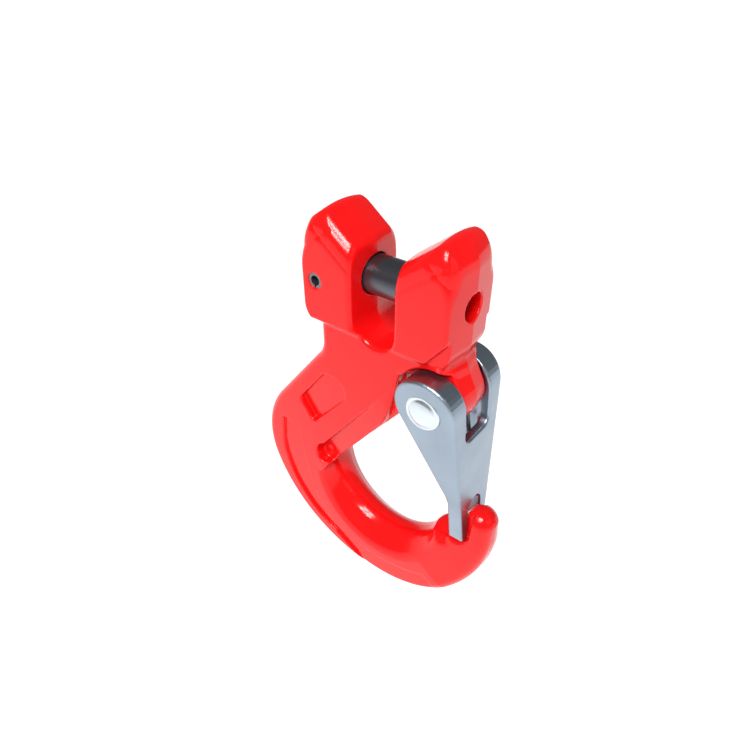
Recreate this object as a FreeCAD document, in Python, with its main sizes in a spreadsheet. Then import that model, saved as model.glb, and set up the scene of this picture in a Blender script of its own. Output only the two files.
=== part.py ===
import FreeCAD, Part
import math
import os
import Sketcher

# Clevis sling hook with a forged latch, for 8 mm lifting chain.
#
# Frame: millimetres, +Z up.  The origin is the centre of the load pin.  X lies
# in the plane of the hook and points to its tip, and Y runs through its
# thickness.  The forging parts on the plane Y = 0 and both halves draft away.

Vector = FreeCAD.Vector

# Driving dimensions, in millimetres and degrees.
SIZES = {
    # clevis ears
    "draft": 6.2,
    "slot_half": 5.3,
    "slot_round_z": -9.2,
    "ear_reach": 21.7,
    "ear_reach_left": 22.3,
    "ear_depth": 9.65,
    "ear_top": 16.5,
    "ear_peak_x": 16.2,
    "ear_cap_x": 19.6,
    "ear_cap_top_z": 14.05,
    "ear_cap_z": 10.4,
    "ear_cap_radius": 4.6,
    "ear_flank_z": -8.5,
    "ear_foot_radius": 7.0,
    "ear_base_x": 19.5,
    "ear_base_left_x": 20.1,
    "ear_base_z": -14.1,
    "slope_rise": 0.76,
    "slope_start_z": 8.2,
    "eave_fall": 0.72,
    "crown_radius": 30.0,
    "crown_half": 6.8,
    "crown_drop": 0.78,
    "slope_side_drop": 6.0,
    "slope_corner_radius": 7.4,
    "roof_side_drop": 8.5,
    "roof_corner_radius": 13.5,
    # load pin and the roll pin that keeps it
    "pin_radius": 5.0,
    "pin_clearance": 0.05,
    "pin_left": -20.2,
    "pin_right": 15.2,
    "bore_end": 15.5,
    "pin_chamfer": 0.7,
    "drift_hole_radius": 3.5,
    "roll_pin_x": -17.3,
    "roll_pin_z": -1.9,
    "roll_pin_radius": 2.05,
    "roll_pin_bore": 1.3,
    "roll_pin_half": 9.3,
    "roll_pin_gap": 0.5,
    # shank and bowl
    "web_depth": 8.0,
    "shank_top_z": -6.0,
    "neck_x": -18.9,
    "neck_low_z": -20.55,
    "neck_round": 8.0,
    "back_top_x": -20.4,
    "back_top_z": -25.3,
    "shoulder_x": -37.6,
    "shoulder_z": -45.9,
    "shoulder_radius": 28.5,
    "heel_x": -43.09,
    "heel_z": -70.94,
    "bowl_low_x": -6.5,
    "bowl_low_z": -102.0,
    "bowl_left_radius": 42.3,
    "bowl_right_radius": 38.0,
    "nose_x": 32.6,
    "nose_z": -79.9,
    "nose_radius": 32.0,
    "tip_side_x": 34.9,
    "tip_low_z": -66.5,
    "tip_radius": 4.5,
    "tip_z": -61.9,
    "tongue_x": 27.2,
    "tongue_z": -60.0,
    "tongue_knee_x": 23.9,
    "tongue_knee_z": -66.0,
    "tongue_foot_x": 21.0,
    "tongue_foot_z": -70.0,
    "seat_x": 0.1,
    "seat_z": -63.55,
    "seat_radius": 18.6,
    "seat_stock_right_x": 16.9,
    "seat_stock_left_x": -17.2,
    "seat_stock_z": -66.3,
    "seat_stock_radius": 17.9,
    "seat_crown_depth": 4.0,
    "seat_crown_z": -64.55,
    "seat_crown_radius": 19.5,
    "seat_flare_depth": 8.6,
    "seat_flare_z": -68.35,
    "seat_flare_radius": 21.4,
    "throat_angle": 51.9,
    "throat_low_x": -16.03,
    "throat_low_z": -63.07,
    "throat_top_x": 10.1,
    "throat_top_z": -29.73,
    # tip
    "tip_lean": 53.13,
    "tip_taper": 7.6,
    "taper_x": 22.0,
    "taper_z": -88.0,
    "taper_length": 31.0,
    "taper_width": 41.0,
    "tongue_half": 2.5,
    "landing_z": -69.7,
    "landing_start_x": 15.0,
    "landing_x": 24.4,
    "landing_round_x": 29.5,
    "landing_round_z": -66.8,
    "landing_radius": 4.0,
    "landing_top_z": -54.0,
    # strip beside the throat
    "strip_width": 6.4,
    "strip_depth": 3.3,
    "strip_overrun": 1.8,
    "strip_length": 37.0,
    "strip_end_x": -19.3,
    "strip_end_z": -61.5,
    "strip_end_radius": 3.2,
    # forged recesses in the cheeks of the web
    "recess_depth": 0.9,
    "panel_top_x": -17.1,
    "panel_top_z": -30.3,
    "panel_left_x": -27.7,
    "panel_left_z": -43.5,
    "panel_low_x": -22.8,
    "panel_low_z": -50.4,
    "panel_right_x": -10.9,
    "panel_right_z": -36.7,
    "panel_corner_x": -12.8,
    "panel_round": 4.2,
    "crescent_top_x": -35.6,
    "crescent_top_z": -54.7,
    "crescent_left_x": -36.6,
    "crescent_left_z": -65.0,
    "crescent_outer_x": -16.0,
    "crescent_outer_z": -93.4,
    "crescent_outer_radius": 33.3,
    "crescent_mouth_x": 4.0,
    "crescent_mouth_z": -106.0,
    "crescent_end_x": 27.0,
    "crescent_end_z": -101.0,
    "crescent_hook_x": 20.6,
    "crescent_hook_z": -91.3,
    "crescent_point_x": 17.2,
    "crescent_point_z": -89.2,
    "crescent_point_radius": 3.5,
    "crescent_low_x": -18.1,
    "crescent_low_z": -89.2,
    "crescent_inner_radius": 38.0,
    "crescent_inner_x": -26.9,
    "crescent_inner_z": -71.0,
    "crescent_flank_radius": 30.0,
    "crescent_corner_x": -29.9,
    "crescent_corner_z": -55.2,
    # latch pivot and lug
    "pivot_x": 16.7,
    "pivot_z": -25.0,
    "lug_radius": 8.3,
    "lug_depth": 5.2,
    "lug_side_x": 24.07,
    "lug_side_z": -21.18,
    "neck_right_x": 19.3,
    "neck_right_z": -12.0,
    "lug_pocket_radius": 9.8,
    "spring_slot_half": 2.3,
    "spring_slot_radius": 5.3,
    "leg_room_x": 22.0,
    "leg_room_end_x": 23.9,
    "leg_room_end_z": -35.3,
    "leg_room_top_x": 13.15,
    "leg_room_top_z": -21.75,
    "leg_groove_x": -0.3,
    "leg_groove_z": -38.9,
    "leg_mouth_x": 3.7,
    "leg_mouth_z": -40.9,
    "cheek_room_top_x": 7.4,
    "cheek_room_top_z": -20.3,
    "cheek_room_mid_x": 5.6,
    "cheek_room_mid_z": -27.1,
    "cheek_room_low_x": 2.0,
    "cheek_room_low_z": -40.0,
    # latch
    "latch_radius": 8.75,
    "latch_lean": 3.86,
    "latch_face_x": 23.78,
    "latch_wall": 2.7,
    "latch_top_x": 25.43,
    "latch_top_z": -24.41,
    "latch_tip_x": 28.36,
    "latch_tip_z": -67.9,
    "latch_heel_x": 23.95,
    "latch_knee_x": 23.5,
    "latch_knee_z": -54.4,
    "latch_bend_x": 22.6,
    "latch_bend_z": -51.9,
    "latch_back_x": 9.24,
    "latch_back_z": -29.57,
    "latch_half": 13.95,
    "latch_narrowing": 0.1128,
    "latch_stock": 12.5,
    "latch_gap_top": 5.6,
    "latch_gap_tip": 2.9,
    "latch_gap_knee_z": -38.0,
    "latch_window_half": 5.5,
    "latch_window_z": -34.2,
    "latch_window_corner": 2.3,
    "latch_notch_half": 2.9,
    "latch_notch_z": -58.5,
    # rivet
    "rivet_radius": 3.0,
    "rivet_clearance": 0.05,
    "rivet_head_radius": 4.8,
    "rivet_face": 11.15,
    "rivet_crown": 1.3,
    "rivet_rim": 0.45,
    "rivet_land": 0.8,
    "rivet_dome_radius": 12.5,
    # torsion spring
    "wire_radius": 0.6,
    "coil_radius": 4.1,
    "coil_pitch": 1.35,
    "leg_tilt": 9.5,
    "leg_overlap": 0.2,
    "body_leg": 15.0,
    "latch_leg": 13.4,
}


class Dim:
    """A length that keeps its value together with its sheet expression."""

    def __init__(self, value, text):
        self.value = float(value)
        self.text = text

    def __add__(self, other):
        other = as_dim(other)
        return Dim(self.value + other.value, "(%s + %s)" % (self.text, other.text))

    def __sub__(self, other):
        other = as_dim(other)
        return Dim(self.value - other.value, "(%s - %s)" % (self.text, other.text))

    def __mul__(self, other):
        other = as_dim(other)
        return Dim(self.value * other.value, "(%s * %s)" % (self.text, other.text))

    def __truediv__(self, other):
        other = as_dim(other)
        return Dim(self.value / other.value, "(%s / %s)" % (self.text, other.text))

    def __neg__(self):
        return Dim(-self.value, "(0 - %s)" % self.text)


def as_dim(number):
    if isinstance(number, Dim):
        return number
    return Dim(number, "%g" % number)


def tangent_of(angle):
    return Dim(math.tan(math.radians(angle.value)), "tan(%s * 1 deg)" % angle.text)


class Sizes:
    """Attribute access to the sheet's values: S.pin_radius and so on."""

    def __getattr__(self, name):
        return Dim(SIZES[name], "Sizes.%s" % name)


S = Sizes()
VOLUMES = {}
doc = FreeCAD.newDocument("ClevisHook")
sheet = doc.addObject("Spreadsheet::Sheet", "Sizes")
for row, (name, value) in enumerate(SIZES.items(), start=1):
    sheet.set("A%d" % row, name)
    sheet.set("B%d" % row, str(value))
    sheet.setAlias("B%d" % row, name)
doc.recompute()


# ---------------------------------------------------------------- helpers

def new_body(name):
    body = doc.addObject("PartDesign::Body", name)
    body.Label = name
    return body


def new_sketch(body, name, plane, offset=None, origin=None, turn=None):
    """Sketch on one of the body's own planes.

    offset moves it along the plane's normal, origin shifts its zero within the
    plane, and turn is (axis, angle): a rotation about an axis of the sketch.
    """
    sketch = body.newObject("Sketcher::SketchObject", name)
    support = [item for item in body.Origin.OriginFeatures if item.Role == plane][0]
    sketch.AttachmentSupport = [(support, "")]
    sketch.MapMode = "FlatFace"
    if turn is not None:
        axis, angle = turn
        rotation = FreeCAD.Rotation(axis, angle.value)
        sketch.AttachmentOffset = FreeCAD.Placement(Vector(), rotation)
        sketch.setExpression(".AttachmentOffset.Rotation.Angle", angle.text)
    if offset is not None:
        sketch.setExpression(".AttachmentOffset.Base.z", offset.text)
    if origin is not None:
        sketch.setExpression(".AttachmentOffset.Base.x", origin[0].text)
        sketch.setExpression(".AttachmentOffset.Base.y", origin[1].text)
    doc.recompute()
    return sketch


def fix_point(sketch, geometry, end, point):
    """Holds one end of an edge at its place, driven by the sheet."""
    for kind, distance in (("DistanceX", point[0]), ("DistanceY", point[1])):
        index = sketch.addConstraint(
            Sketcher.Constraint(kind, -1, 1, geometry, end, distance.value))
        sketch.setExpression("Constraints[%d]" % index, distance.text)


def fix_radius(sketch, geometry, radius):
    index = sketch.addConstraint(Sketcher.Constraint("Radius", geometry, radius.value))
    sketch.setExpression("Constraints[%d]" % index, radius.text)


def add_outline(sketch, points):
    """Closed outline of (x, y) and (x, y, radius) points.

    A radius makes the edge that ends at the point an arc, anticlockwise when it
    is positive and clockwise when it is negative.
    """
    count = len(points)
    ends = []
    for number in range(count):
        start = points[number - 1]
        stop = points[number]
        first = Vector(start[0].value, start[1].value, 0)
        last = Vector(stop[0].value, stop[1].value, 0)
        if len(stop) == 2:
            edge = sketch.addGeometry(Part.LineSegment(first, last), False)
            ends.append((edge, 1, 2))
            continue
        radius = stop[2].value
        chord = last - first
        rise = math.sqrt(max(radius * radius - chord.Length ** 2 / 4, 0))
        side = Vector(-chord.y, chord.x, 0).normalize() * math.copysign(rise, radius)
        centre = first + chord * 0.5 + side
        circle = Part.Circle(centre, Vector(0, 0, 1), abs(radius))
        if radius < 0:
            first, last = last, first
        from_angle = math.atan2(first.y - centre.y, first.x - centre.x)
        to_angle = math.atan2(last.y - centre.y, last.x - centre.x)
        edge = sketch.addGeometry(Part.ArcOfCircle(circle, from_angle, to_angle), False)
        fix_radius(sketch, edge, stop[2] if radius > 0 else -stop[2])
        ends.append((edge, 1, 2) if radius > 0 else (edge, 2, 1))
    for number in range(count):
        edge, start_end, stop_end = ends[number]
        following, next_start = ends[(number + 1) % count][:2]
        sketch.addConstraint(
            Sketcher.Constraint("Coincident", edge, stop_end, following, next_start))
        fix_point(sketch, edge, stop_end, points[number])


def add_circle(sketch, centre, radius):
    where = Vector(centre[0].value, centre[1].value, 0)
    edge = sketch.addGeometry(Part.Circle(where, Vector(0, 0, 1), radius.value), False)
    fix_radius(sketch, edge, radius)
    fix_point(sketch, edge, 3, centre)


def add_rectangle(sketch, left, bottom, right, top):
    add_outline(sketch, [(left, bottom), (right, bottom), (right, top), (left, top)])


def bind(feature, field, length):
    setattr(feature, field, length.value)
    feature.setExpression(field, length.text)


def symmetric(body, sketch, kind, name, length):
    """Pad or pocket of a whole length, centred on the sketch's plane."""
    feature = body.newObject("PartDesign::" + kind, name)
    feature.Profile = sketch
    feature.SideType = "Symmetric"
    bind(feature, "Length", length)
    finish(body, feature)
    return feature


def one_side(body, sketch, kind, name, length, reversed_side, direction=None):
    """Pad or pocket to one side of the sketch; it must change the volume."""
    feature = body.newObject("PartDesign::" + kind, name)
    feature.Profile = sketch
    feature.SideType = "One side"
    bind(feature, "Length", length)
    feature.Reversed = reversed_side
    if direction is not None:
        feature.UseCustomVector = True
        feature.Direction = direction
        feature.AlongSketchNormal = False
    finish(body, feature)
    return feature


def finish(body, feature):
    """Recomputes, makes the feature the tip and checks that it did something."""
    before = VOLUMES.get(body.Name, 0.0)
    doc.recompute()
    after = feature.Shape.Volume
    print("%-24s %10.1f %+9.1f %s" % (feature.Name, after, after - before,
                                      feature.Shape.isValid()))
    VOLUMES[body.Name] = after
    body.Tip = feature


# -------------------------------------------------------------- hook body

ZERO = as_dim(0)
WIDE = as_dim(60)   # cuts right through the hook's thickness
FAR = as_dim(40)    # cuts out past the end of the ears or of the latch
CLEAR = as_dim(3)   # how far a cutting outline runs past the material
PARTING_SIDES = (("Front", 1, True), ("Back", -1, False))

hook = new_body("hook_body")

shank = new_sketch(hook, "ShankOutline", "XZ_Plane")
add_outline(shank, [
    (S.neck_x, S.shank_top_z),
    (S.neck_x, S.neck_low_z),
    (S.back_top_x, S.back_top_z, -S.neck_round),
    (S.shoulder_x, S.shoulder_z),
    (S.heel_x, S.heel_z, S.shoulder_radius),
    (S.bowl_low_x, S.bowl_low_z, S.bowl_left_radius),
    (S.nose_x, S.nose_z, S.bowl_right_radius),
    (S.tip_side_x, S.tip_low_z, S.nose_radius),
    (S.tip_side_x, S.tip_z),
    (S.tongue_x, S.tongue_z, S.tip_radius),
    (S.tongue_knee_x, S.tongue_knee_z),
    (S.tongue_foot_x, S.tongue_foot_z),
    (S.seat_stock_right_x, S.tongue_foot_z),
    (S.seat_stock_left_x, S.seat_stock_z, -S.seat_stock_radius),
    (S.throat_low_x, S.throat_low_z),
    (S.throat_top_x, S.throat_top_z),
    (S.lug_side_x, S.lug_side_z, S.lug_radius),
    (S.neck_right_x, S.neck_right_z),
    (S.neck_right_x, S.shank_top_z),
])
symmetric(hook, shank, "Pad", "Shank", S.web_depth * 2)

ears = new_sketch(hook, "EarOutline", "XZ_Plane")
add_outline(ears, [
    (S.ear_base_x, S.ear_base_z),
    (S.ear_reach, S.ear_flank_z, S.ear_foot_radius),
    (S.ear_reach, S.ear_cap_z),
    (S.ear_cap_x, S.ear_cap_top_z, S.ear_cap_radius),
    (S.ear_peak_x, S.ear_top),
    (-S.ear_peak_x, S.ear_top),
    (-S.ear_cap_x, S.ear_cap_top_z),
    (-S.ear_reach_left, S.ear_cap_z, S.ear_cap_radius),
    (-S.ear_reach_left, S.ear_flank_z),
    (-S.ear_base_left_x, S.ear_base_z, S.ear_foot_radius),
])
symmetric(hook, ears, "Pad", "Ears", S.ear_depth * 2)

slot_top = S.ear_top + CLEAR
for label, side in (("Front", 1), ("Back", -1)):
    sections = []
    for number, depth in enumerate((ZERO, S.ear_depth + 1)):
        half = S.slot_half + depth * tangent_of(S.draft)
        outline = new_sketch(hook, "Slot%s%d" % (label, number), "XZ_Plane", depth * side)
        add_outline(outline, [
            (half, slot_top),
            (-half, slot_top),
            (-half, S.slot_round_z),
            (ZERO, S.slot_round_z - half, half),
            (half, S.slot_round_z, half),
        ])
        sections.append(outline)
    slot_cut = hook.newObject("PartDesign::SubtractiveLoft", "Slot" + label)
    slot_cut.Profile = sections[0]
    slot_cut.Sections = sections[1:]
    slot_cut.Ruled = True
    finish(hook, slot_cut)


def arch(name, crown_z, side_drop, corner_radius):
    """The space above an arched roof, in the plane midway between the ears."""
    sketch = new_sketch(hook, name, "YZ_Plane")
    shoulder_z = crown_z - S.crown_drop
    side_z = crown_z - side_drop
    outside = S.ear_depth + CLEAR
    top = crown_z + FAR
    add_outline(sketch, [
        (outside, side_z),
        (outside, top),
        (-outside, top),
        (-outside, side_z),
        (-S.ear_depth, side_z),
        (-S.crown_half, shoulder_z, -corner_radius),
        (S.crown_half, shoulder_z, -S.crown_radius),
        (S.ear_depth, side_z, -corner_radius),
    ])
    return sketch


# Each ear has a level roof, a slope towards the slot and an eave outwards.
roof = arch("RoofArch", S.ear_top, S.roof_side_drop, S.roof_corner_radius)
symmetric(hook, roof, "Pocket", "Roof", WIDE)
slope = arch("SlopeArch", S.slope_start_z - S.slope_rise * S.slot_half,
             S.slope_side_drop, S.slope_corner_radius)
eave = arch("EaveArch", S.ear_top + S.eave_fall * S.ear_peak_x,
            S.slope_side_drop, S.slope_corner_radius)
for name, side in (("Right", 1), ("Left", -1)):
    one_side(hook, slope, "Pocket", "Slope" + name, FAR, False, Vector(side, 0, S.slope_rise.value))
    one_side(hook, eave, "Pocket", "Eave" + name, FAR, False, Vector(side, 0, -S.eave_fall.value))

pin_bore = new_sketch(hook, "PinBoreSection", "XZ_Plane")
bore_radius = S.pin_radius + S.pin_clearance
add_rectangle(pin_bore, -(S.ear_reach_left + CLEAR), ZERO, S.bore_end, bore_radius)
bore = hook.newObject("PartDesign::Groove", "PinBore")
bore.Profile = pin_bore
bore.ReferenceAxis = (pin_bore, ["H_Axis"])
bore.Angle = 360
finish(hook, bore)

drift = new_sketch(hook, "DriftHoleCircle", "YZ_Plane")
add_circle(drift, (ZERO, ZERO), S.drift_hole_radius)
one_side(hook, drift, "Pocket", "DriftHole", S.ear_reach + CLEAR, True)

roll_hole = new_sketch(hook, "RollPinHoleCircle", "XZ_Plane")
add_circle(roll_hole, (S.roll_pin_x, S.roll_pin_z), S.roll_pin_radius)
symmetric(hook, roll_hole, "Pocket", "RollPinHole", WIDE)

for label, side, away in PARTING_SIDES:
    lug = new_sketch(hook, "LugPocket" + label, "XZ_Plane", S.lug_depth * side)
    add_circle(lug, (S.pivot_x, S.pivot_z), S.lug_pocket_radius)
    one_side(hook, lug, "Pocket", "LugSide" + label, S.web_depth, away)

# Wedges that thin the tip, lying along the direction in which it leans.
taper = new_sketch(hook, "TipTaperWedges", "XY_Plane", S.taper_z, (S.taper_x, ZERO),
                   (Vector(0, 1, 0), -S.tip_lean))
taper_gain = S.taper_length * tangent_of(S.tip_taper)
for side in (1, -1):
    add_outline(taper, [
        (ZERO, S.web_depth * side),
        (S.taper_length, (S.web_depth - taper_gain) * side),
        (S.taper_length, (S.web_depth + CLEAR) * side),
        (ZERO, (S.web_depth + CLEAR) * side),
    ])
symmetric(hook, taper, "Pocket", "TipTaper", S.taper_width)

for label, side, away in PARTING_SIDES:
    relief = new_sketch(hook, "TipRelief" + label, "XZ_Plane", S.tongue_half * side)
    add_outline(relief, [
        (S.landing_start_x, S.landing_z),
        (S.landing_x, S.landing_z),
        (S.landing_round_x, S.landing_round_z, S.landing_radius),
        (S.landing_round_x, S.landing_top_z),
        (S.landing_start_x, S.landing_top_z),
    ])
    one_side(hook, relief, "Pocket", "TipSide" + label, S.web_depth, away)

for label, side, away in PARTING_SIDES:
    sections = []
    for depth, middle, radius in (
            (ZERO, S.seat_z, S.seat_radius),
            (S.seat_crown_depth, S.seat_crown_z, S.seat_crown_radius),
            (S.seat_flare_depth, S.seat_flare_z, S.seat_flare_radius)):
        ring = new_sketch(hook, "Seat%s%d" % (label, len(sections)), "XZ_Plane", depth * side)
        add_circle(ring, (S.seat_x, middle), radius)
        sections.append(ring)
    seat = hook.newObject("PartDesign::SubtractiveLoft", "Seat" + label)
    seat.Profile = sections[0]
    seat.Sections = sections[1:]
    seat.Ruled = True
    finish(hook, seat)

# Room for the latch's cheeks, which straddle the web as the latch opens.
for label, side, away in PARTING_SIDES:
    room = new_sketch(hook, "CheekRoom" + label, "XZ_Plane", S.lug_depth * side)
    add_outline(room, [
        (S.cheek_room_top_x, S.cheek_room_top_z),
        (S.cheek_room_mid_x, S.cheek_room_mid_z),
        (S.cheek_room_low_x, S.cheek_room_low_z),
        (S.pivot_x, S.pivot_z - S.lug_radius - CLEAR),
        (S.pivot_x, S.pivot_z),
    ])
    one_side(hook, room, "Pocket", "CheekRoomCut" + label, S.web_depth, away)

# Tapering step beside the throat, on both faces of the web.
strip = new_sketch(hook, "StripWedges", "XY_Plane", S.throat_low_z, (S.throat_low_x, ZERO),
                   (Vector(0, 1, 0), -S.throat_angle))
for side in (1, -1):
    add_outline(strip, [
        (-S.strip_overrun, (S.web_depth - S.strip_depth) * side),
        (S.strip_length, S.web_depth * side),
        (S.strip_length, (S.web_depth + CLEAR) * side),
        (-S.strip_overrun, (S.web_depth + CLEAR) * side),
    ])
symmetric(hook, strip, "Pocket", "Strip", S.strip_width * 2)

for label, side, away in PARTING_SIDES:
    end = new_sketch(hook, "StripEnd" + label, "XZ_Plane",
                     (S.web_depth - S.strip_depth) * side)
    add_circle(end, (S.strip_end_x, S.strip_end_z), S.strip_end_radius)
    one_side(hook, end, "Pocket", "StripEndCut" + label, S.web_depth, away)

# Bore for the rivet and the slot that holds the latch spring.
rivet_hole = new_sketch(hook, "RivetHoleCircle", "XZ_Plane")
add_circle(rivet_hole, (S.pivot_x, S.pivot_z), S.rivet_radius + S.rivet_clearance)
symmetric(hook, rivet_hole, "Pocket", "RivetHole", WIDE)

spring_room = new_sketch(hook, "SpringRoomCircle", "XZ_Plane")
add_circle(spring_room, (S.pivot_x, S.pivot_z), S.spring_slot_radius)
symmetric(hook, spring_room, "Pocket", "SpringRoom", S.spring_slot_half * 2)
leg_room = new_sketch(hook, "SpringLegRoom", "XZ_Plane")
add_outline(leg_room, [
    (S.leg_room_x, S.pivot_z),
    (S.leg_room_top_x, S.leg_room_top_z),
    (S.leg_groove_x, S.leg_groove_z),
    (S.leg_mouth_x, S.leg_mouth_z),
    (S.leg_room_end_x, S.leg_room_end_z),
])
symmetric(hook, leg_room, "Pocket", "SpringLegs", S.spring_slot_half * 2)

# Shallow forged recesses on both faces of the web.
for label, side, away in PARTING_SIDES:
    floor = (S.web_depth - S.recess_depth) * side
    panel = new_sketch(hook, "NeckRecess" + label, "XZ_Plane", floor)
    add_outline(panel, [
        (S.panel_top_x, S.panel_top_z),
        (S.panel_left_x, S.panel_left_z),
        (S.panel_low_x, S.panel_low_z),
        (S.panel_right_x, S.panel_right_z),
        (S.panel_corner_x, S.panel_top_z, S.panel_round),
    ])
    one_side(hook, panel, "Pocket", "NeckPanel" + label, S.web_depth, away)
    crescent = new_sketch(hook, "BowlRecess" + label, "XZ_Plane", floor)
    add_outline(crescent, [
        (S.crescent_top_x, S.crescent_top_z),
        (S.crescent_left_x, S.crescent_left_z),
        (S.crescent_outer_x, S.crescent_outer_z, S.crescent_outer_radius),
        (S.crescent_mouth_x, S.crescent_mouth_z),
        (S.crescent_end_x, S.crescent_end_z),
        (S.crescent_hook_x, S.crescent_hook_z),
        (S.crescent_point_x, S.crescent_point_z, S.crescent_point_radius),
        (S.crescent_low_x, S.crescent_low_z, -S.crescent_inner_radius),
        (S.crescent_inner_x, S.crescent_inner_z, -S.crescent_flank_radius),
        (S.crescent_corner_x, S.crescent_corner_z),
    ])
    one_side(hook, crescent, "Pocket", "BowlPanel" + label, S.web_depth, away)


# -------------------------------------------------------------- load pin

def turned(name, section_points, plane="XZ_Plane", offset=None, origin=None):
    """A solid of revolution about the horizontal axis of its sketch."""
    body = new_body(name)
    section = new_sketch(body, name + "_section", plane, offset, origin)
    add_outline(section, section_points)
    turn = body.newObject("PartDesign::Revolution", name + "_turn")
    turn.Profile = section
    turn.ReferenceAxis = (section, ["H_Axis"])
    turn.Angle = 360
    finish(body, turn)
    return body


load_pin = turned("load_pin", [
    (S.pin_left, ZERO),
    (S.pin_right, ZERO),
    (S.pin_right, S.pin_radius - S.pin_chamfer),
    (S.pin_right - S.pin_chamfer, S.pin_radius),
    (S.pin_left + S.pin_chamfer, S.pin_radius),
    (S.pin_left, S.pin_radius - S.pin_chamfer),
])
cross = new_sketch(load_pin, "CrossHoleCircle", "XZ_Plane")
add_circle(cross, (S.roll_pin_x, S.roll_pin_z), S.roll_pin_radius)
symmetric(load_pin, cross, "Pocket", "CrossHole", WIDE)

# Roll pin: a rolled sleeve with a slit, pressed through ear and load pin.
roll_pin = new_body("load_pin_retainer")
sleeve = new_sketch(roll_pin, "SleeveCircles", "XZ_Plane")
add_circle(sleeve, (S.roll_pin_x, S.roll_pin_z), S.roll_pin_radius)
add_circle(sleeve, (S.roll_pin_x, S.roll_pin_z), S.roll_pin_bore)
symmetric(roll_pin, sleeve, "Pad", "Sleeve", S.roll_pin_half * 2)
slit = new_sketch(roll_pin, "SlitOutline", "XZ_Plane")
add_rectangle(slit, S.roll_pin_x - S.roll_pin_gap / 2, S.roll_pin_z - S.roll_pin_radius * 1.5,
              S.roll_pin_x + S.roll_pin_gap / 2, S.roll_pin_z)
symmetric(roll_pin, slit, "Pocket", "Slit", WIDE)

# ----------------------------------------------------------------- latch

latch = new_body("latch")
side_view = new_sketch(latch, "LatchSide", "XZ_Plane")
add_outline(side_view, [
    (S.latch_tip_x, S.latch_tip_z),
    (S.latch_top_x, S.latch_top_z),
    (S.pivot_x, S.pivot_z + S.latch_radius, S.latch_radius),
    (S.latch_back_x, S.latch_back_z, S.latch_radius),
    (S.latch_bend_x, S.latch_bend_z),
    (S.latch_knee_x, S.latch_knee_z),
    (S.latch_heel_x, S.latch_tip_z),
])
symmetric(latch, side_view, "Pad", "LatchBlank", S.latch_stock * 2)

# Both cheeks lean in towards the tip.
cheeks = new_sketch(latch, "CheekPlanes", "YZ_Plane")
high_z = S.pivot_z + S.latch_radius + CLEAR
low_z = S.latch_tip_z - CLEAR
for side in (1, -1):
    add_outline(cheeks, [
        ((S.latch_half + S.latch_narrowing * high_z) * side, high_z),
        ((S.latch_half + S.latch_narrowing * low_z) * side, low_z),
        ((S.latch_stock + CLEAR) * side, low_z),
        ((S.latch_stock + CLEAR) * side, high_z),
    ])
symmetric(latch, cheeks, "Pocket", "CheekTaper", WIDE)

# Inside of the channel, cut up to the wall that stays under the outer face.
channel = new_sketch(latch, "ChannelSection", "YZ_Plane", S.latch_face_x - S.latch_wall,
                     turn=(Vector(1, 0, 0), -S.latch_lean))
add_outline(channel, [
    (S.latch_gap_tip, low_z),
    (S.latch_gap_top, S.latch_gap_knee_z),
    (S.latch_gap_top, high_z),
    (-S.latch_gap_top, high_z),
    (-S.latch_gap_top, S.latch_gap_knee_z),
    (-S.latch_gap_tip, low_z),
])
one_side(latch, channel, "Pocket", "Channel", FAR, False)

window = new_sketch(latch, "WindowOutline", "YZ_Plane")
add_outline(window, [
    (S.latch_window_half - S.latch_window_corner, S.latch_window_z),
    (S.latch_window_half, S.latch_window_z + S.latch_window_corner, S.latch_window_corner),
    (S.latch_window_half, high_z),
    (-S.latch_window_half, high_z),
    (-S.latch_window_half, S.latch_window_z + S.latch_window_corner),
    (-(S.latch_window_half - S.latch_window_corner), S.latch_window_z, S.latch_window_corner),
])
one_side(latch, window, "Pocket", "Window", FAR, True)

notch = new_sketch(latch, "NotchOutline", "YZ_Plane")
add_outline(notch, [
    (S.latch_notch_half, low_z),
    (S.latch_notch_half, S.latch_notch_z),
    (ZERO, S.latch_notch_z + S.latch_notch_half, S.latch_notch_half),
    (-S.latch_notch_half, S.latch_notch_z, S.latch_notch_half),
    (-S.latch_notch_half, low_z),
])
one_side(latch, notch, "Pocket", "Notch", FAR, True)

cheek_holes = new_sketch(latch, "CheekHoleCircle", "XZ_Plane")
add_circle(cheek_holes, (S.pivot_x, S.pivot_z), S.rivet_radius)
symmetric(latch, cheek_holes, "Pocket", "CheekHoles", WIDE)

# Domed rivet: shank and two formed heads that sit on the cheeks.
half_head = S.rivet_face + S.rivet_crown
rim = S.rivet_face + S.rivet_rim
latch_pin = turned("latch_pin", [
    (-half_head, ZERO),
    (half_head, ZERO),
    (half_head, S.rivet_land),
    (rim, S.rivet_head_radius, S.rivet_dome_radius),
    (S.rivet_face, S.rivet_head_radius),
    (S.rivet_face, S.rivet_radius),
    (-S.rivet_face, S.rivet_radius),
    (-S.rivet_face, S.rivet_head_radius),
    (-rim, S.rivet_head_radius),
    (-half_head, S.rivet_land, S.rivet_dome_radius),
], "YZ_Plane", S.pivot_x, (ZERO, S.pivot_z))

# ---------------------------------------------------------- latch spring

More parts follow.
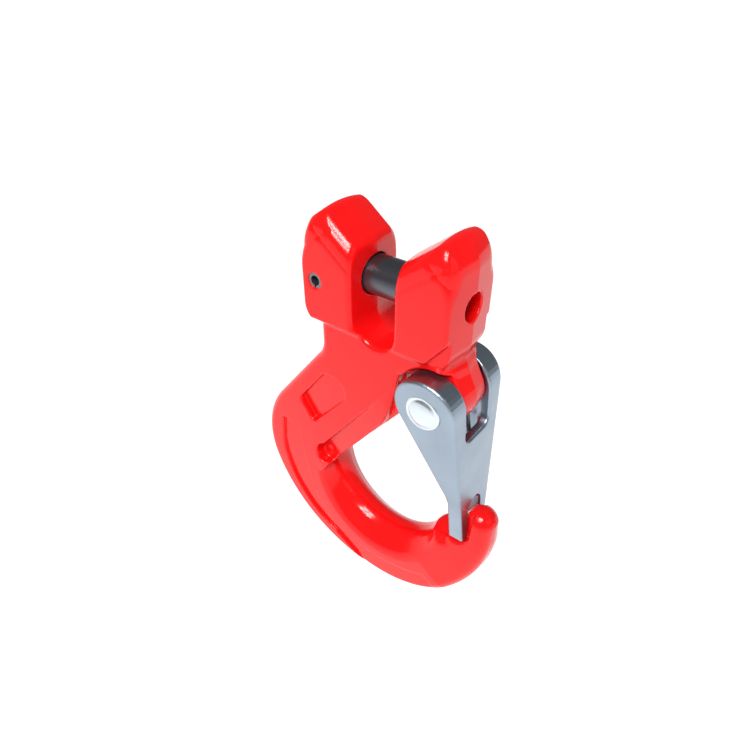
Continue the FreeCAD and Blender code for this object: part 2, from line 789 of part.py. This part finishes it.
pivot = Vector(S.pivot_x.value, 0, S.pivot_z.value)
along_throat = math.radians(S.throat_angle.value)
body_leg_way = Vector(-math.cos(along_throat), 0, -math.sin(along_throat))
leg_tilt = math.radians(S.leg_tilt.value)
latch_leg_way = Vector(math.sin(leg_tilt), 0, -math.cos(leg_tilt))
start_angle = 90 + S.throat_angle.value
coil_turns = 2 + (start_angle - S.leg_tilt.value) / 360
coil_height = S.coil_pitch.value * coil_turns
coil_path = Part.makeHelix(S.coil_pitch.value, coil_height, S.coil_radius.value)
coil_section = Part.Circle(Vector(S.coil_radius.value, 0, 0), Vector(0, 1, 0), S.wire_radius.value)
coil = Part.Wire(coil_path.Edges).makePipeShell([Part.Wire(coil_section.toShape())], True, True)
lay_down = FreeCAD.Rotation(Vector(1, 0, 0), -90)
turn_start = FreeCAD.Rotation(Vector(0, 1, 0), -start_angle)
coil.Placement = FreeCAD.Placement(pivot - Vector(0, coil_height / 2, 0), turn_start.multiply(lay_down))


def coil_point(angle, y):
    """Centre of the wire at an angle from +X towards +Z, seen from the front."""
    turned_angle = math.radians(angle)
    reach = S.coil_radius.value
    return pivot + Vector(reach * math.cos(turned_angle), y, reach * math.sin(turned_angle))


legs = []
for angle, y, way, length in (
        (start_angle, -coil_height / 2, body_leg_way, S.body_leg.value),
        (S.leg_tilt.value, coil_height / 2, latch_leg_way, S.latch_leg.value)):
    foot = coil_point(angle, y) - way * S.leg_overlap.value
    legs.append(Part.makeCylinder(S.wire_radius.value, length, foot, way))
latch_spring = doc.addObject("Part::Feature", "latch_spring")
latch_spring.Label = "latch_spring"
latch_spring.Shape = coil.fuse(legs[0]).fuse(legs[1])

# ---------------------------------------------------------------- export

doc.recompute()
bad = [item.Name for item in doc.Objects if "Invalid" in item.State or "Error" in item.State]
if bad:
    raise RuntimeError("features that failed: %s" % ", ".join(bad))
os.makedirs("parts", exist_ok=True)
for node in (hook, load_pin, roll_pin, latch, latch_pin, latch_spring):
    shape = node.Shape
    if shape.isNull() or not shape.isValid() or len(shape.Solids) != 1:
        raise RuntimeError("bad solid: %s" % node.Label)
    shape.exportStep("parts/%s.step" % node.Label)
    box = shape.BoundBox
    print("%-18s %7.0f mm3  x %.1f..%.1f  y %.1f..%.1f  z %.1f..%.1f" % (
        node.Label, shape.Volume, box.XMin, box.XMax, box.YMin, box.YMax, box.ZMin, box.ZMax))
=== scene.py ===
import math
import bmesh
import bpy
import numpy as np
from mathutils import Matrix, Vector


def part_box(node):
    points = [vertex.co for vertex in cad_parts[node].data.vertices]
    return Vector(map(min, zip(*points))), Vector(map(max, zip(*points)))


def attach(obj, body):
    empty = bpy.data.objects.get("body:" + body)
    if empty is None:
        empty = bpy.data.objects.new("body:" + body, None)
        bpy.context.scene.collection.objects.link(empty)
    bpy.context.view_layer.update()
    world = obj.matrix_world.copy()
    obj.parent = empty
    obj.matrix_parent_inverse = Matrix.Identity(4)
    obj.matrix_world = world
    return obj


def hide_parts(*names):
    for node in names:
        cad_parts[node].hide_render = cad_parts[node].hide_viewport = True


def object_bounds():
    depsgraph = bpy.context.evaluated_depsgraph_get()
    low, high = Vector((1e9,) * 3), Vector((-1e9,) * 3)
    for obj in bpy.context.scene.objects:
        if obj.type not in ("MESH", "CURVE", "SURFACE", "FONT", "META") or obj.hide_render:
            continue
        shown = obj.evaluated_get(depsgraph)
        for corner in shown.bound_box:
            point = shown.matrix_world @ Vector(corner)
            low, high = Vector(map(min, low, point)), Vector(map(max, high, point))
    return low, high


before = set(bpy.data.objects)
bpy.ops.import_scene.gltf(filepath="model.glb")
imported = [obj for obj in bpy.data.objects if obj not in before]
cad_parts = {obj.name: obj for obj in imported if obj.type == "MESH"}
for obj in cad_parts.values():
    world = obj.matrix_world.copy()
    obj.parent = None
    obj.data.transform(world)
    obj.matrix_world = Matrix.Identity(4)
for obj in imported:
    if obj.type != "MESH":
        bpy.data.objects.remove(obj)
cad_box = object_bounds()

# Clevis sling hook with a forged latch.  Lengths in this script are millimetres
# in the part's own frame: origin at the load pin's centre, +X to the tip, +Z up.
# Surfaces are made in metres, so every mesh is scaled by MM.
MM = 0.001

# ------------------------------------------------------------------ sizes

DRAFT = math.tan(math.radians(6.2))
WEB_HALF = 8.0
EAR_HALF = 9.65

# the web thins towards the tip, along a line that leans through this point
TAPER_START = (22.0, -88.0)
TAPER_LENGTH = 32.0
TAPER_RATE = 0.1334
TAPER_BEGINS = 50.0

# roofs of the ears, arched across the ear's thickness
ROOF_SHIFT = 0.5
SLOPE_RISE = 0.76
SLOPE_START = 8.5
EAVE_FALL = 0.72
PEAK = (16.2, 16.5)
CROWN_RADIUS = 30.0
CORNER_SIDE = 2.28
CORNER_DROP = 6.64
CORNER_RADIUS = 7.4

# clevis slot, load pin and roll pin
SLOT_HALF = 5.3
SLOT_ROUND_Z = -9.2
PIN_RADIUS = 5.0
PIN_PLAY = 0.25
PIN_BORE_END = 15.5
PIN_PUNCH_RADIUS = 3.5
ROLL_PIN = (-17.3, -1.9)
ROLL_PIN_RADIUS = 2.05

# latch pivot, its lug and the room round it
PIVOT = (16.7, -25.0)
LUG_HALF = 5.2
LUG_POCKET = 9.8
CHEEK_ROOM_RUN_OUT = -38.5
COIL_ROOM = 5.3
SPRING_SLOT_HALF = 2.3

# throat: the line that the open latch lies beside, and the strip along it
THROAT_ANGLE = math.radians(51.9)
THROAT_OFFSET = 26.3
STRIP_WIDTH = 6.4
STRIP_END = -60.3
STRIP_START = -22.5
STRIP_DEPTH = 3.3
POCKET = (-19.0, -60.3)
POCKET_RADIUS = 3.1
POCKET_WALL = 1.6

# latch: the gap between its cheeks, the window in its back and the end notch
GAP_TOP = 5.6
GAP_NARROWS = 2.7
GAP_KNEE_Z = -38.0
WINDOW_HALF = 5.5
WINDOW_LOW_Z = -34.2
NOTCH_TOP_Z = -58.5
NOTCH_RADIUS = 2.9

# bowl, tip and the recesses
SEAT = (-0.2, -63.55, 18.9)
CROWN_EDGE = 4.0
TONGUE_HALF = 2.5
PANEL_CORNER = 1.5
BOWL_PANEL_DEPTH = 0.9

SHANK = [
    (-18.9, -6.0), (-18.9, -20.55), (-20.8, -25.1, -8.0), (-37.6, -45.9),
    (-43.09, -70.94, 28.5), (-6.2, -101.6, 43.5), (32.6, -79.9, 36.5), (34.9, -66.5, 32.0),
    (34.9, -61.9), (27.2, -60.0, 4.5), (24.6, -66.0), (22.0, -70.5), (16.9, -70.5),
    (-17.2, -66.3, -17.9), (-16.03, -63.07), (10.1, -29.73), (24.07, -21.18, 8.3),
    (19.3, -12.0), (19.3, -6.0),
]
EARS = [
    (19.5, -14.1), (21.7, -8.5, 7.0), (21.9, 30.0), (-22.7, 30.0), (-22.5, -8.5), (-20.1, -14.1, 7.0),
]
LUG = [
    (6.0, -14.0), (10.1, -29.73), (24.07, -21.18, 8.3), (19.3, -12.0), (17.0, -8.0), (8.0, -10.0),
]
NECK_PANEL = [
    (-16.9, -32.2), (-25.7, -43.3), (-22.6, -47.8), (-12.7, -36.5), (-13.9, -32.2, 2.8),
]
BOWL_PANEL = [
    (-35.6, -54.7), (-36.6, -65.0), (-16.0, -93.4, 33.3), (4.0, -106.0), (27.0, -101.0),
    (20.6, -91.3), (17.2, -89.2, 3.5), (-18.1, -89.2, -38.0), (-26.9, -71.0, -30.0),
    (-29.9, -55.2),
]
TIP_RELIEF = [
    (15.0, -69.7), (24.4, -69.7), (29.5, -66.8, 4.0), (29.5, -54.0), (15.0, -54.0),
]
SPRING_ROOM = [
    (22.0, -25.0), (13.15, -21.75), (-0.3, -38.9), (3.7, -40.9), (23.9, -35.3),
]
CHEEK_ROOM = [
    (7.4, -20.3), (5.6, -27.1), (2.0, -40.0), (16.7, -37.5), (16.7, -20.3),
]
LATCH_SIDE = [
    (28.36, -67.9), (25.43, -24.41), (16.7, -16.25, 8.75), (9.24, -29.57, 8.75),
    (22.6, -51.9), (23.5, -54.4), (23.95, -67.9),
]


# --------------------------------------------------- distances and blends

def outline(points, step=1.2):
    """Polygon of (x, z) points; a third value makes the edge that ends there an
    arc of that radius, anticlockwise when it is positive."""
    polygon = []
    for number, stop in enumerate(points):
        start = np.array(points[number - 1][:2])
        end = np.array(stop[:2])
        if len(stop) == 2:
            polygon.append(end)
            continue
        radius = stop[2]
        chord = end - start
        length = np.linalg.norm(chord)
        rise = math.sqrt(max(radius * radius - length * length / 4, 0.0))
        normal = np.array((-chord[1], chord[0])) / length
        centre = (start + end) / 2 + normal * math.copysign(rise, radius)
        first = math.atan2(*(start - centre)[::-1])
        turn = math.atan2(*(end - centre)[::-1]) - first
        turn = turn % math.tau if radius > 0 else -(-turn % math.tau)
        count = max(2, math.ceil(abs(turn * radius) / step))
        for part in range(1, count + 1):
            angle = first + turn * part / count
            polygon.append(centre + abs(radius) * np.array((math.cos(angle), math.sin(angle))))
    return np.array(polygon)


def flat_distance(polygon, x, z):
    """Signed distance to a polygon in the X-Z plane, negative inside."""
    x, z = np.broadcast_arrays(x, z)
    nearest = np.full(x.shape, np.inf)
    inside = np.zeros(x.shape, bool)
    for start, end in zip(np.roll(polygon, 1, axis=0), polygon):
        edge = end - start
        px = x - start[0]
        pz = z - start[1]
        along = np.clip((px * edge[0] + pz * edge[1]) / (edge @ edge), 0, 1)
        nearest = np.minimum(nearest, (px - along * edge[0]) ** 2 + (pz - along * edge[1]) ** 2)
        crosses = (start[1] > z) != (end[1] > z)
        if edge[1] != 0:
            inside ^= crosses & (px < edge[0] * pz / edge[1])
    distance = np.sqrt(nearest)
    return np.where(inside, -distance, distance)


def meet(a, b, radius):
    """Common part of two solids, with the convex edge rounded."""
    outer = np.hypot(np.maximum(a + radius, 0), np.maximum(b + radius, 0))
    return np.minimum(np.maximum(a, b), -radius) + outer


def join(a, b, radius):
    """Both solids together, with the hollow corner filled."""
    return -meet(-a, -b, radius)


def cut(solid, tool, radius):
    """The solid without the tool, with the new edge rounded."""
    return meet(solid, -tool, radius)


SHAPES = {name: outline(points) for name, points in (
    ("shank", SHANK), ("ears", EARS), ("lug", LUG), ("neck_panel", NECK_PANEL),
    ("bowl_panel", BOWL_PANEL), ("tip_relief", TIP_RELIEF), ("spring_room", SPRING_ROOM),
    ("latch", LATCH_SIDE), ("cheek_room", CHEEK_ROOM))}


# ---------------------------------------------------------------- forging

def arch(side, rise):
    """Under an arched roof: a nearly flat crown that turns down at both sides."""
    crown = np.hypot(side, rise + CROWN_RADIUS) - CROWN_RADIUS
    above = rise + CORNER_DROP
    corner = np.hypot(np.maximum(side - CORNER_SIDE, 0), np.maximum(above, 0))
    return np.maximum(crown, corner - CORNER_RADIUS + 0.7 * np.minimum(above, 0))


def web(x, side, z):
    """Main plate of the forging, thinning towards the tip."""
    lean = 0.6 * (x - TAPER_START[0]) + 0.8 * (z - TAPER_START[1])
    at_tip = 0.8 * x - 0.6 * z > TAPER_BEGINS
    taper = np.where(at_tip, np.clip(lean, 0, TAPER_LENGTH), 0)
    half = WEB_HALF - taper * TAPER_RATE
    outside = flat_distance(SHAPES["shank"], x, z) + DRAFT * side
    return meet(outside, side - half, 2.4 + taper * 0.035)


def clevis_ears(x, side, z):
    """Both ears, each under a slope towards the slot and an eave to the outside."""
    reach = np.abs(x - ROOF_SHIFT)
    outside = flat_distance(SHAPES["ears"], x, z) + DRAFT * side
    slope = arch(side, z - SLOPE_RISE * (reach - SLOT_HALF) - SLOPE_START) * 0.8
    eave = arch(side, z + EAVE_FALL * (reach - PEAK[0]) - PEAK[1]) * 0.81
    return meet(meet(outside, meet(slope, eave, 1.6), 3.0), side - EAR_HALF, 0.9)


def with_lug(body, x, side, z, from_pivot):
    """The lug for the latch, between two round pockets."""
    body = cut(body, from_pivot - LUG_POCKET, 0.8)
    lug = meet(flat_distance(SHAPES["lug"], x, z) + DRAFT * side, side - LUG_HALF, 0.8)
    return join(body, lug, 0.9)


def with_throat_strip(body, x, side, z, across, along):
    """Step beside the throat with a small pocket at its end, and the cheeks' room."""
    from_middle = across - (THROAT_OFFSET - STRIP_WIDTH / 2)
    offset = np.where(along < STRIP_END, from_middle, np.minimum(from_middle, 0))
    strip = np.hypot(offset, np.minimum(along - STRIP_END, 0)) - STRIP_WIDTH / 2
    strip = np.maximum(strip, across - THROAT_OFFSET - 2)
    depth = STRIP_DEPTH * np.clip((STRIP_START - along) / 38.0, 0, 1.02)
    body = cut(body, meet(strip, WEB_HALF - depth - side, 0.5), 0.5)

    room_floor = LUG_HALF + 0.6 * np.maximum(CHEEK_ROOM_RUN_OUT - z, 0)
    room = flat_distance(SHAPES["cheek_room"], x, z)
    body = cut(body, np.maximum(room * 0.7, room_floor - side), 0.9)

    from_pocket = np.hypot(x - POCKET[0], z - POCKET[1])
    pocket = np.maximum((4.2 + 0.5 * from_pocket - side) * 0.9, from_pocket - POCKET_RADIUS)
    pocket = np.maximum(pocket, across - THROAT_OFFSET + POCKET_WALL)
    return cut(body, pocket, 0.4)


def with_seat(body, x, side, z, across):
    """Seat of the bowl, crowned in the middle and flared at both sides."""
    flare = 1.8 + 1.2 * (side - CROWN_EDGE)
    drop = np.where(side < CROWN_EDGE, 0.1125 * side ** 2, flare)
    radius = SEAT[2] + 0.38 * drop
    bowl = np.hypot(x - SEAT[0] - 0.08 * drop, z - SEAT[1] + 0.62 * drop) - radius
    return cut(body, np.maximum(bowl * 0.72, THROAT_OFFSET - across), 1.2)


def with_recesses(body, x, side, z, along):
    """Shallow recesses on both faces: one on the neck, one along the bowl's back."""
    neck = flat_distance(SHAPES["neck_panel"], x, z) - PANEL_CORNER
    depth = 0.8 + 0.045 * np.clip(-29 - along, 0, 30)
    body = cut(body, meet(neck, WEB_HALF - depth - side, 0.4), 0.7)
    bowl = flat_distance(SHAPES["bowl_panel"], x, z)
    return cut(body, np.maximum(bowl, WEB_HALF - BOWL_PANEL_DEPTH - side), 0.5)


def with_bores(body, x, y, z, from_pivot):
    """Bores of the load pin and roll pin, and the slot for the latch spring."""
    side = np.abs(y)
    from_pin = np.hypot(y, z)
    body = cut(body, np.maximum(from_pin - PIN_RADIUS - PIN_PLAY, x - PIN_BORE_END), 0.4)
    body = cut(body, np.maximum(from_pin - PIN_PUNCH_RADIUS, -x), 0.5)
    roll_hole = np.hypot(x - ROLL_PIN[0], z - ROLL_PIN[1]) - ROLL_PIN_RADIUS
    body = cut(body, np.maximum(roll_hole, x), 0.3)
    spring_room = flat_distance(SHAPES["spring_room"], x, z)
    spring_room = np.minimum(from_pivot - COIL_ROOM, spring_room)
    return cut(body, np.maximum(spring_room, side - SPRING_SLOT_HALF), 0.4)


def hook_field(x, y, z):
    side = np.abs(y)
    from_pivot = np.hypot(x - PIVOT[0], z - PIVOT[1])
    across = math.sin(THROAT_ANGLE) * x - math.cos(THROAT_ANGLE) * z
    along = math.cos(THROAT_ANGLE) * x + math.sin(THROAT_ANGLE) * z

    body = join(web(x, side, z), clevis_ears(x, side, z), 1.5)
    slot = SLOT_HALF + DRAFT * side - np.hypot(x, np.minimum(z - SLOT_ROUND_Z, 0))
    body = meet(body, slot, 1.2)
    body = with_lug(body, x, side, z, from_pivot)
    body = with_throat_strip(body, x, side, z, across, along)
    body = with_seat(body, x, side, z, across)

    # landings for the latch, one on each side of the tip's tongue
    landing = meet(flat_distance(SHAPES["tip_relief"], x, z), TONGUE_HALF - side, 0.3)
    body = cut(body, landing, 0.8)

    body = with_recesses(body, x, side, z, along)
    return with_bores(body, x, y, z, from_pivot)


def latch_field(x, y, z):
    side = np.abs(y)
    behind_pivot = PIVOT[0] - x
    cheek = (side - 13.95 - 0.1128 * z) * 0.994
    latch = meet(flat_distance(SHAPES["latch"], x, z), cheek, 1.0)
    gap = GAP_TOP - GAP_NARROWS * np.clip((GAP_KNEE_Z - z) / 32.9, 0, 1)
    channel = meet(side - gap, x - 21.07 + 0.0675 * z, 1.2)
    latch = cut(latch, channel, 0.6)
    window = meet(side - WINDOW_HALF, WINDOW_LOW_Z - z, 2.3)
    latch = cut(latch, np.maximum(window, behind_pivot), 0.7)
    notch = np.hypot(side, np.maximum(z - NOTCH_TOP_Z, 0)) - NOTCH_RADIUS
    return cut(latch, np.maximum(notch, behind_pivot), 0.6)


# ------------------------------------------------------- field to surface

def surface(name, field, low, high, step):
    """Mesh of a field's zero surface: one vertex in each cell that it crosses."""
    axes = [np.arange(a - step, b + 2 * step, step) for a, b in zip(low, high)]
    values = field(axes[0][:, None, None], axes[1][None, :, None], axes[2][None, None, :])
    inside = values < 0
    cells = tuple(count - 1 for count in values.shape)

    def corner(array, i, j, k):
        return array[i:i + cells[0], j:j + cells[1], k:k + cells[2]]

    corners = [(i, j, k) for i in (0, 1) for j in (0, 1) for k in (0, 1)]
    filled = sum(corner(inside, *place).astype(np.int8) for place in corners)
    active = (filled > 0) & (filled < 8)
    index = np.full(cells, -1)
    index[active] = np.arange(active.sum())
    total = np.zeros((active.sum(), 3))
    count = np.zeros(active.sum())
    for place in corners:
        for axis in range(3):
            if place[axis]:
                continue
            other = tuple(1 if n == axis else place[n] for n in range(3))
            a = corner(values, *place)[active]
            b = corner(values, *other)[active]
            crossed = (a < 0) != (b < 0)
            share = np.where(crossed, a / np.where(crossed, a - b, 1), 0)
            point = np.array(place, float) + share[:, None] * np.eye(3)[axis]
            total += np.where(crossed[:, None], point, 0)
            count += crossed
    points = (np.argwhere(active) + total / count[:, None]) * step + [axis[0] for axis in axes]

    faces = []
    for axis in range(3):
        u = (axis + 1) % 3
        v = (axis + 2) % 3
        first = [slice(1, size) for size in cells]
        first[axis] = slice(0, cells[axis])
        beyond = list(first)
        beyond[axis] = slice(1, cells[axis] + 1)
        here = inside[tuple(first)]
        change = here != inside[tuple(beyond)]
        quad = []
        for du, dv in ((1, 1), (0, 1), (0, 0), (1, 0)):
            pick = list(first)
            pick[u] = slice(1 - du, cells[u] - du)
            pick[v] = slice(1 - dv, cells[v] - dv)
            quad.append(index[tuple(pick)][change])
        quad = np.stack(quad, axis=1)
        out = here[change]
        faces.append(np.where(out[:, None], quad, quad[:, ::-1]))
    faces = np.concatenate(faces)

    nudge = step * 0.05
    for _ in range(3):
        slope = np.stack([
            field(*(points + nudge * direction).T) - field(*(points - nudge * direction).T)
            for direction in np.eye(3)], axis=1) / (2 * nudge)
        steep = np.maximum((slope ** 2).sum(axis=1), 0.1)
        move = field(*points.T)[:, None] * slope / steep[:, None]
        points -= np.clip(move, -step / 2, step / 2)
    normals = slope / np.linalg.norm(slope, axis=1)[:, None]

    mesh = bpy.data.meshes.new(name)
    mesh.from_pydata(points * MM, [], faces.tolist())
    mesh.shade_smooth()
    mesh.normals_split_custom_set_from_vertices(normals.tolist())
    piece = bpy.data.objects.new(name, mesh)
    bpy.context.collection.objects.link(piece)
    return piece


def box_mm(node):
    low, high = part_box(node)
    return [value / MM for value in low], [value / MM for value in high]


hook = surface("hook_forging", hook_field, *box_mm("hook_body"), 0.36)
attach(hook, "hook")
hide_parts("hook_body")
latch = surface("latch_forging", latch_field, *box_mm("latch"), 0.25)
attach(latch, "latch")
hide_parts("latch")


# ------------------------------------------------------- rivet and spring

def tube_faces(rings, count):
    """Faces of a closed tube: a skin of quads between the rings, and two ends."""
    faces = []
    for ring in range(rings - 1):
        for part in range(count):
            after = (part + 1) % count
            faces.append((ring * count + part, ring * count + after,
                          (ring + 1) * count + after, (ring + 1) * count + part))
    faces.append(tuple(range(count))[::-1])
    faces.append(tuple(range((rings - 1) * count, rings * count)))
    return faces


def turned(name, profile, count=96):
    """Lathed piece about a line through the pivot, parallel to Y."""
    points = []
    for radius, height in profile:
        for part in range(count):
            angle = math.tau * part / count
            points.append((PIVOT[0] + radius * math.cos(angle), height,
                           PIVOT[1] + radius * math.sin(angle)))
    return solid(name, points, tube_faces(len(profile), count))


def solid(name, points, faces):
    """Smooth mesh piece from points in millimetres, with its normals outward."""
    mesh = bpy.data.meshes.new(name)
    mesh.from_pydata(np.array(points, float) * MM, [], faces)
    mesh.update()
    mesh.shade_smooth()
    piece = bpy.data.objects.new(name, mesh)
    bpy.context.collection.objects.link(piece)
    outward = bmesh.new()
    outward.from_mesh(mesh)
    bmesh.ops.recalc_face_normals(outward, faces=outward.faces)
    outward.to_mesh(mesh)
    outward.free()
    return piece


RIVET_HEAD = [
    (0.6, 12.43), (1.5, 12.35), (2.8, 12.1), (3.55, 11.8), (3.75, 11.62), (3.9, 11.6), (4.05, 11.72),
    (4.4, 11.68), (4.65, 11.5), (4.8, 11.25), (4.8, 11.15), (3.0, 11.15),
]
rivet = turned("rivet", RIVET_HEAD + [(radius, -height) for radius, height in RIVET_HEAD[::-1]])
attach(rivet, "latch")
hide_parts("latch_pin")


def wire(name, path, radius, sides=12):
    """Round wire along a path of points."""
    path = np.array(path, float)
    points = []
    along = np.gradient(path, axis=0)
    along /= np.linalg.norm(along, axis=1)[:, None]
    flat = np.array((0.0, 1.0, 0.0))
    for place, way in zip(path, along):
        first = flat - way * (flat @ way)
        first /= np.linalg.norm(first)
        second = np.cross(way, first)
        for part in range(sides):
            angle = math.tau * part / sides
            points.append(place + radius * (math.cos(angle) * first + math.sin(angle) * second))
    return solid(name, points, tube_faces(len(path), sides))


WIRE_RADIUS = 0.6
COIL_RADIUS = 4.1
COIL_WIDTH = 3.196
COIL_START = 141.9
COIL_SWEEP = 852.4
LATCH_SHARE = 60.0 / COIL_SWEEP


def coil(share):
    """Point of the spring's coil, from the body leg (0) to the latch leg (1)."""
    angle = math.radians(COIL_START - COIL_SWEEP * share)
    return np.array((PIVOT[0] + COIL_RADIUS * math.cos(angle), COIL_WIDTH * (share - 0.5),
                     PIVOT[1] + COIL_RADIUS * math.sin(angle)))


body_leg = np.array((-math.cos(THROAT_ANGLE), 0, -math.sin(THROAT_ANGLE)))
latch_leg = np.array((0.165, 0, -0.986))
coil_part = [coil(share) for share in np.linspace(0, 1 - LATCH_SHARE, 150)]
leg_part = [coil(0) + body_leg * length for length in np.linspace(15, 0.6, 14)]
spring_body = wire("spring_body", leg_part + coil_part, WIRE_RADIUS)
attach(spring_body, "hook")
end_part = [coil(share) for share in np.linspace(1 - LATCH_SHARE * 1.05, 1, 14)]
leg_part = [coil(1) + latch_leg * length for length in np.linspace(0.6, 13.4, 12)]
spring_latch = wire("spring_latch", end_part + leg_part, WIRE_RADIUS - 0.01)
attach(spring_latch, "latch")
for piece in (spring_body, spring_latch):
    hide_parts("latch_spring")


# -------------------------------------------------------------- materials

def material(name, color, metallic, roughness):
    made = bpy.data.materials.new(name)
    made.use_nodes = True
    shader = made.node_tree.nodes["Principled BSDF"]
    shader.inputs["Base Color"].default_value = (*color, 1)
    shader.inputs["Metallic"].default_value = metallic
    shader.inputs["Roughness"].default_value = roughness
    return made


def finish_of(name, color, patch_color, edge_color, metallic, roughness, grain, wear):
    """Coated or plated metal: uneven colour, fine grain and lighter, worn edges."""
    made = material(name, color, metallic, roughness)
    nodes = made.node_tree.nodes
    wires = made.node_tree.links
    shader = nodes["Principled BSDF"]
    shader.inputs["Specular IOR Level"].default_value = 0.3
    place = nodes.new("ShaderNodeTexCoord")

    def noise(scale, detail):
        node = nodes.new("ShaderNodeTexNoise")
        node.inputs["Scale"].default_value = scale
        node.inputs["Detail"].default_value = detail
        wires.new(place.outputs["Object"], node.inputs["Vector"])
        return node.outputs["Fac"]

    def spread(value, low, high, to_low, to_high):
        node = nodes.new("ShaderNodeMapRange")
        limits = {"From Min": low, "From Max": high, "To Min": to_low, "To Max": to_high}
        for socket, number in limits.items():
            node.inputs[socket].default_value = number
        wires.new(value, node.inputs["Value"])
        return node.outputs["Result"]

    def mix(share, first, second):
        node = nodes.new("ShaderNodeMix")
        node.data_type = "RGBA"
        wires.new(share, node.inputs["Factor"])
        for socket, part in ((node.inputs[6], first), (node.inputs[7], second)):
            if isinstance(part, tuple):
                socket.default_value = (*part, 1)
            else:
                wires.new(part, socket)
        return node.outputs[2]

    patches = noise(60, 3)
    fine = noise(2500, 2)
    tone = mix(spread(patches, 0.3, 0.7, 0, 1), color, patch_color)
    shape = nodes.new("ShaderNodeNewGeometry")
    edge = spread(shape.outputs["Pointiness"], 0.53, 0.62, 0, wear)
    wires.new(mix(edge, tone, edge_color), shader.inputs["Base Color"])
    wires.new(spread(patches, 0.3, 0.7, roughness * 0.8, roughness * 1.25), shader.inputs["Roughness"])
    bump = nodes.new("ShaderNodeBump")
    bump.inputs["Strength"].default_value = grain
    bump.inputs["Distance"].default_value = 0.0001
    wires.new(fine, bump.inputs["Height"])
    wires.new(bump.outputs["Normal"], shader.inputs["Normal"])
    return made


red = finish_of("red_paint", (0.85, 0.006, 0.006), (0.76, 0.004, 0.005), (0.93, 0.03, 0.03),
                0.0, 0.16, 0.06, 0.5)
plating = finish_of("latch_plating", (0.33, 0.40, 0.475), (0.29, 0.345, 0.41), (0.52, 0.59, 0.66),
                    1.0, 0.34, 0.12, 0.6)
bright = finish_of("rivet_plating", (0.74, 0.80, 0.84), (0.62, 0.69, 0.74), (0.72, 0.76, 0.80),
                   1.0, 0.24, 0.08, 0.5)
pin_steel = finish_of("load_pin_steel", (0.09, 0.10, 0.12), (0.06, 0.065, 0.08), (0.22, 0.23, 0.25),
                      0.9, 0.26, 0.10, 0.5)
roll_steel = finish_of("roll_pin_steel", (0.11, 0.11, 0.12), (0.07, 0.07, 0.08), (0.28, 0.28, 0.29),
                       0.9, 0.36, 0.12, 0.5)
spring_steel = finish_of("spring_steel", (0.16, 0.165, 0.175), (0.10, 0.105, 0.115),
                         (0.34, 0.35, 0.36), 1.0, 0.32, 0.10, 0.4)


def dress(piece, made):
    piece.data.materials.clear()
    piece.data.materials.append(made)


dress(hook, red)
dress(latch, plating)
dress(rivet, bright)
dress(spring_body, spring_steel)
dress(spring_latch, spring_steel)
for node, made in (("load_pin", pin_steel), ("load_pin_retainer", roll_steel)):
    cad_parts[node].data.materials[0] = made

# ------------------------------------------------------------------ stage

floor_mesh = bpy.data.meshes.new("floor")
floor_reach = 12.0
floor_z = cad_box[0][2] - 0.15
corners = [(x * floor_reach, y * floor_reach, floor_z)
           for x, y in ((-1, -1), (1, -1), (1, 1), (-1, 1))]
floor_mesh.from_pydata(corners, [], [(0, 1, 2, 3)])
floor = bpy.data.objects.new("floor", floor_mesh)
bpy.context.collection.objects.link(floor)
backdrop = material("backdrop", (0.5, 0.5, 0.5), 0.0, 0.95)
floor_shader = backdrop.node_tree.nodes["Principled BSDF"]
floor_shader.inputs["Emission Color"].default_value = (1, 1, 1, 1)
floor_shader.inputs["Emission Strength"].default_value = 0.95
floor_mesh.materials.append(backdrop)

camera_data = bpy.data.cameras.new("camera")
camera_data.lens = 29.82
camera_data.sensor_width = 36.0
camera = bpy.data.objects.new("camera", camera_data)
camera.location = Vector((77.278, -107.351, 67.620)) * MM
camera.rotation_euler = (math.radians(90 - 35.81), 0, math.radians(37.85))
camera_data.clip_start = 0.01
bpy.context.collection.objects.link(camera)
bpy.context.scene.camera = camera


def area_light(name, azimuth, elevation, distance, size, power, shift=(0.0, 0.0)):
    """Square light that faces the middle of the hook, moved sideways by shift."""
    middle = Vector((-0.005, 0.0, -0.045))
    turn = math.radians(azimuth)
    lift = math.radians(elevation)
    way = Vector((math.sin(turn) * math.cos(lift), -math.cos(turn) * math.cos(lift), math.sin(lift)))
    facing = way.to_track_quat("Z", "Y")
    data = bpy.data.lights.new(name, "AREA")
    data.size = size
    data.energy = power
    light = bpy.data.objects.new(name, data)
    light.location = middle + way * distance + facing @ Vector((*shift, 0.0))
    light.rotation_euler = facing.to_euler()
    bpy.context.collection.objects.link(light)
    return light


for column in (-0.065, 0.065):
    for row in (-0.065, 0.065):
        area_light("window", 15, 50, 0.6, 0.1, 1.1, (column, row))
area_light("fill", 85, 25, 0.7, 0.4, 0.25)

world = bpy.data.worlds.new("studio")
world.use_nodes = True
world.node_tree.nodes["Background"].inputs["Color"].default_value = (1, 1, 1, 1)
world.node_tree.nodes["Background"].inputs["Strength"].default_value = 0.22
bpy.context.scene.world = world
bpy.context.scene.view_settings.view_transform = "Standard"
